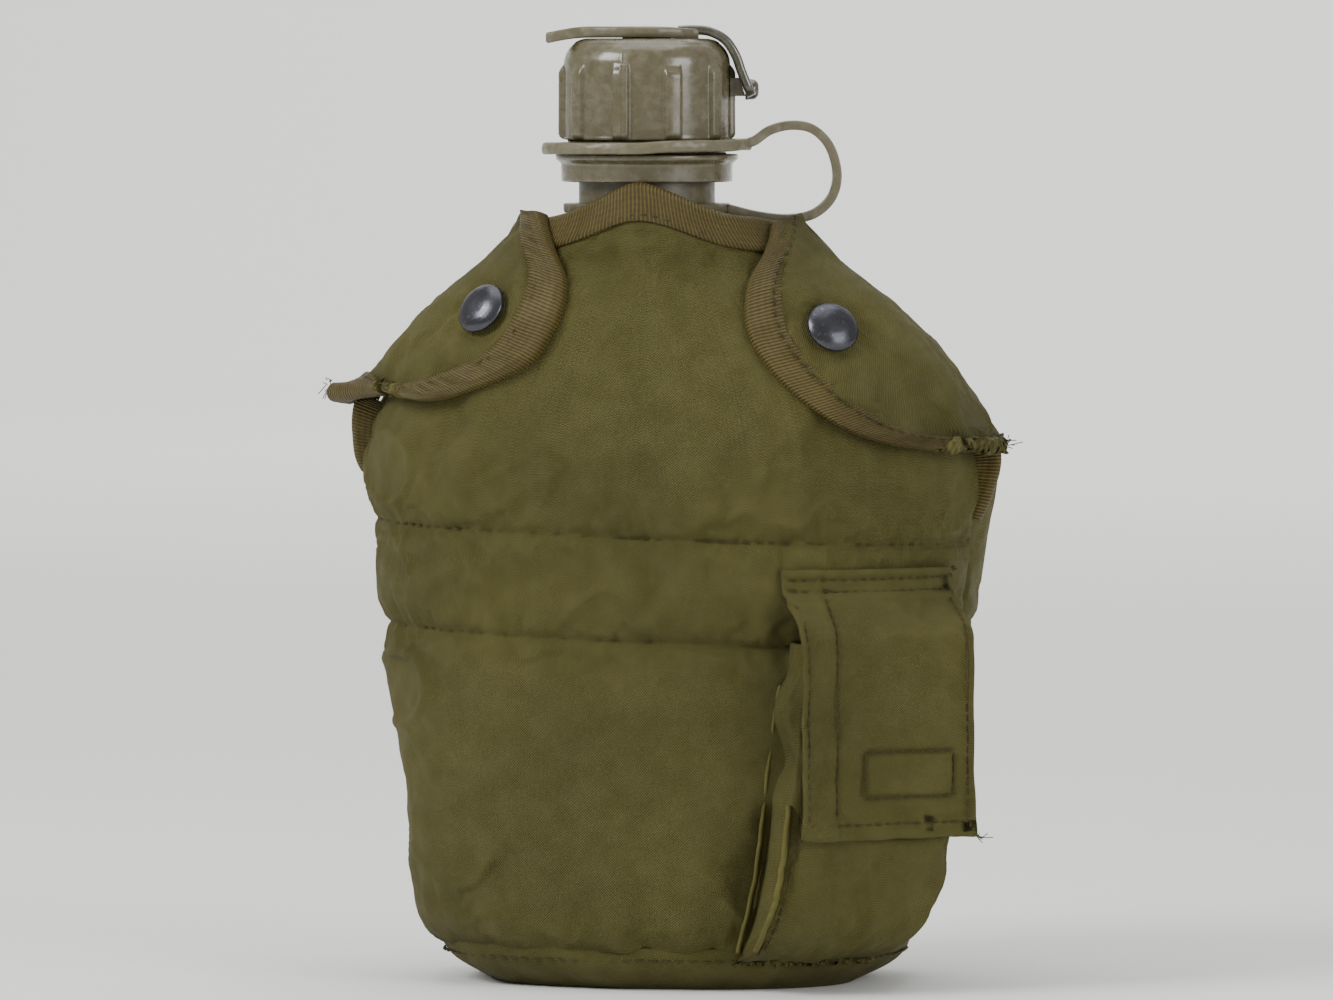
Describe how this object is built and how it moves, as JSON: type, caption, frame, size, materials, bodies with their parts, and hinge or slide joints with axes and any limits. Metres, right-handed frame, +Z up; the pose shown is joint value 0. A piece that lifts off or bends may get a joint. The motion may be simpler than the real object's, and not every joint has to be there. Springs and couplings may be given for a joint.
{
  "type": "canteen",
  "caption": "Kidney-shaped water canteen with a leashed screw cap and drinking port, in a padded cloth belt cover with snap flaps and a small pocket.",
  "frame": {"origin": "on the neck's axis, on the plane that the base stands on", "axes": "+Z up along the neck, -Y out of the front panel, +X towards the side with the pocket"},
  "size_m": [0.1564, 0.1134, 0.2297],
  "materials": {
    "bottle_plastic": "satin moulded polyethylene",
    "cap_plastic": "glossy moulded plastic",
    "strap_plastic": "satin moulded plastic",
    "seal_rubber": "matt rubber",
    "pin_plastic": "moulded plastic",
    "pile_lining": "short acrylic pile",
    "nylon_cloth": "coated woven nylon",
    "binding_tape": "ribbed nylon tape",
    "snap_metal": "dark oxide finish",
    "eyelet_brass": "dull brass",
    "clip_steel": "black-green enamel",
    "webbing": "woven nylon webbing",
    "hook_tape": "hook and loop tape"
  },
  "bodies": {
    "canteen": {"bottle": "bottle_plastic", "strap_neck_ring": "strap_plastic", "strap_loop": "strap_plastic", "cover_front": "nylon_cloth", "cover_back": "nylon_cloth", "base_panel": "nylon_cloth", "drain_eyelet": "eyelet_brass", "lining_front": "pile_lining", "lining_back": "pile_lining", "collar_binding_front": "binding_tape", "collar_binding_back": "binding_tape", "pocket_body": "nylon_cloth", "pocket_flap_root": "nylon_cloth", "pocket_loop_patch": "hook_tape", "left_snap_stud": "snap_metal", "left_snap_post": "snap_metal", "left_clip_frame": "clip_steel", "left_belt_loop": "webbing", "right_snap_stud": "snap_metal", "right_snap_post": "snap_metal", "right_clip_frame": "clip_steel", "right_belt_loop": "webbing"},
    "cap_collar": {"strap_cap_ring": "strap_plastic"},
    "cap": {"cap_body": "cap_plastic", "port_cup": "pin_plastic", "cap_gasket": "seal_rubber", "port_seal": "seal_rubber", "probe_pin": "pin_plastic", "cover_anchor": "strap_plastic", "cover_lug": "cap_plastic"},
    "dust_cover": {"dust_cover": "strap_plastic"},
    "left_flap": {"left_flap": "nylon_cloth", "left_flap_binding": "binding_tape", "left_snap_cap": "snap_metal", "left_snap_socket": "snap_metal"},
    "right_flap": {"right_flap": "nylon_cloth", "right_flap_binding": "binding_tape", "right_snap_cap": "snap_metal", "right_snap_socket": "snap_metal"},
    "pocket_flap": {"pocket_flap": "nylon_cloth", "pocket_hook_patch": "hook_tape"},
    "left_clip_slide": {"left_clip_slide": "clip_steel"},
    "right_clip_slide": {"right_clip_slide": "clip_steel"}
  },
  "joints": [
    {"name": "cap_rise", "type": "slide", "parent": "canteen", "child": "cap_collar", "axis": [0, 0, 1], "range_m": [0, 0.01], "deforming": ["strap_loop"]},
    {"name": "cap_turn", "type": "hinge", "parent": "cap_collar", "child": "cap", "pos_m": [0, 0, 0.2], "axis": [0, 0, 1], "range_deg": [0, 720]},
    {"name": "cover_hinge", "type": "hinge", "parent": "cap", "child": "dust_cover", "pos_m": [0.02114, 0.00335, 0.2212], "axis": [-0.1564, 0.9877, 0], "range_deg": [0, 110]},
    {"name": "left_flap_hinge", "type": "hinge", "parent": "canteen", "child": "left_flap", "pos_m": [-0.06732, -0.01, 0.14167], "axis": [-0.6669, 0, -0.7452], "range_deg": [0, 100]},
    {"name": "right_flap_hinge", "type": "hinge", "parent": "canteen", "child": "right_flap", "pos_m": [0.0823, -0.01, 0.1351], "axis": [-0.6573, 0, 0.7536], "range_deg": [0, 100]},
    {"name": "pocket_flap_hinge", "type": "hinge", "parent": "canteen", "child": "pocket_flap", "pos_m": [0.05855, -0.02546, 0.09792], "axis": [-0.8572, -0.515, 0], "range_deg": [0, 105]},
    {"name": "left_clip_release", "type": "slide", "parent": "canteen", "child": "left_clip_slide", "axis": [0, 0, 1], "range_m": [0, 0.045]},
    {"name": "right_clip_release", "type": "slide", "parent": "canteen", "child": "right_clip_slide", "axis": [0, 0, 1], "range_m": [0, 0.045]}
  ],
  "couplings": [
    {"joint": "cap_turn", "follows": "cap_rise", "rad_per_m": 1256.6}
  ]
}
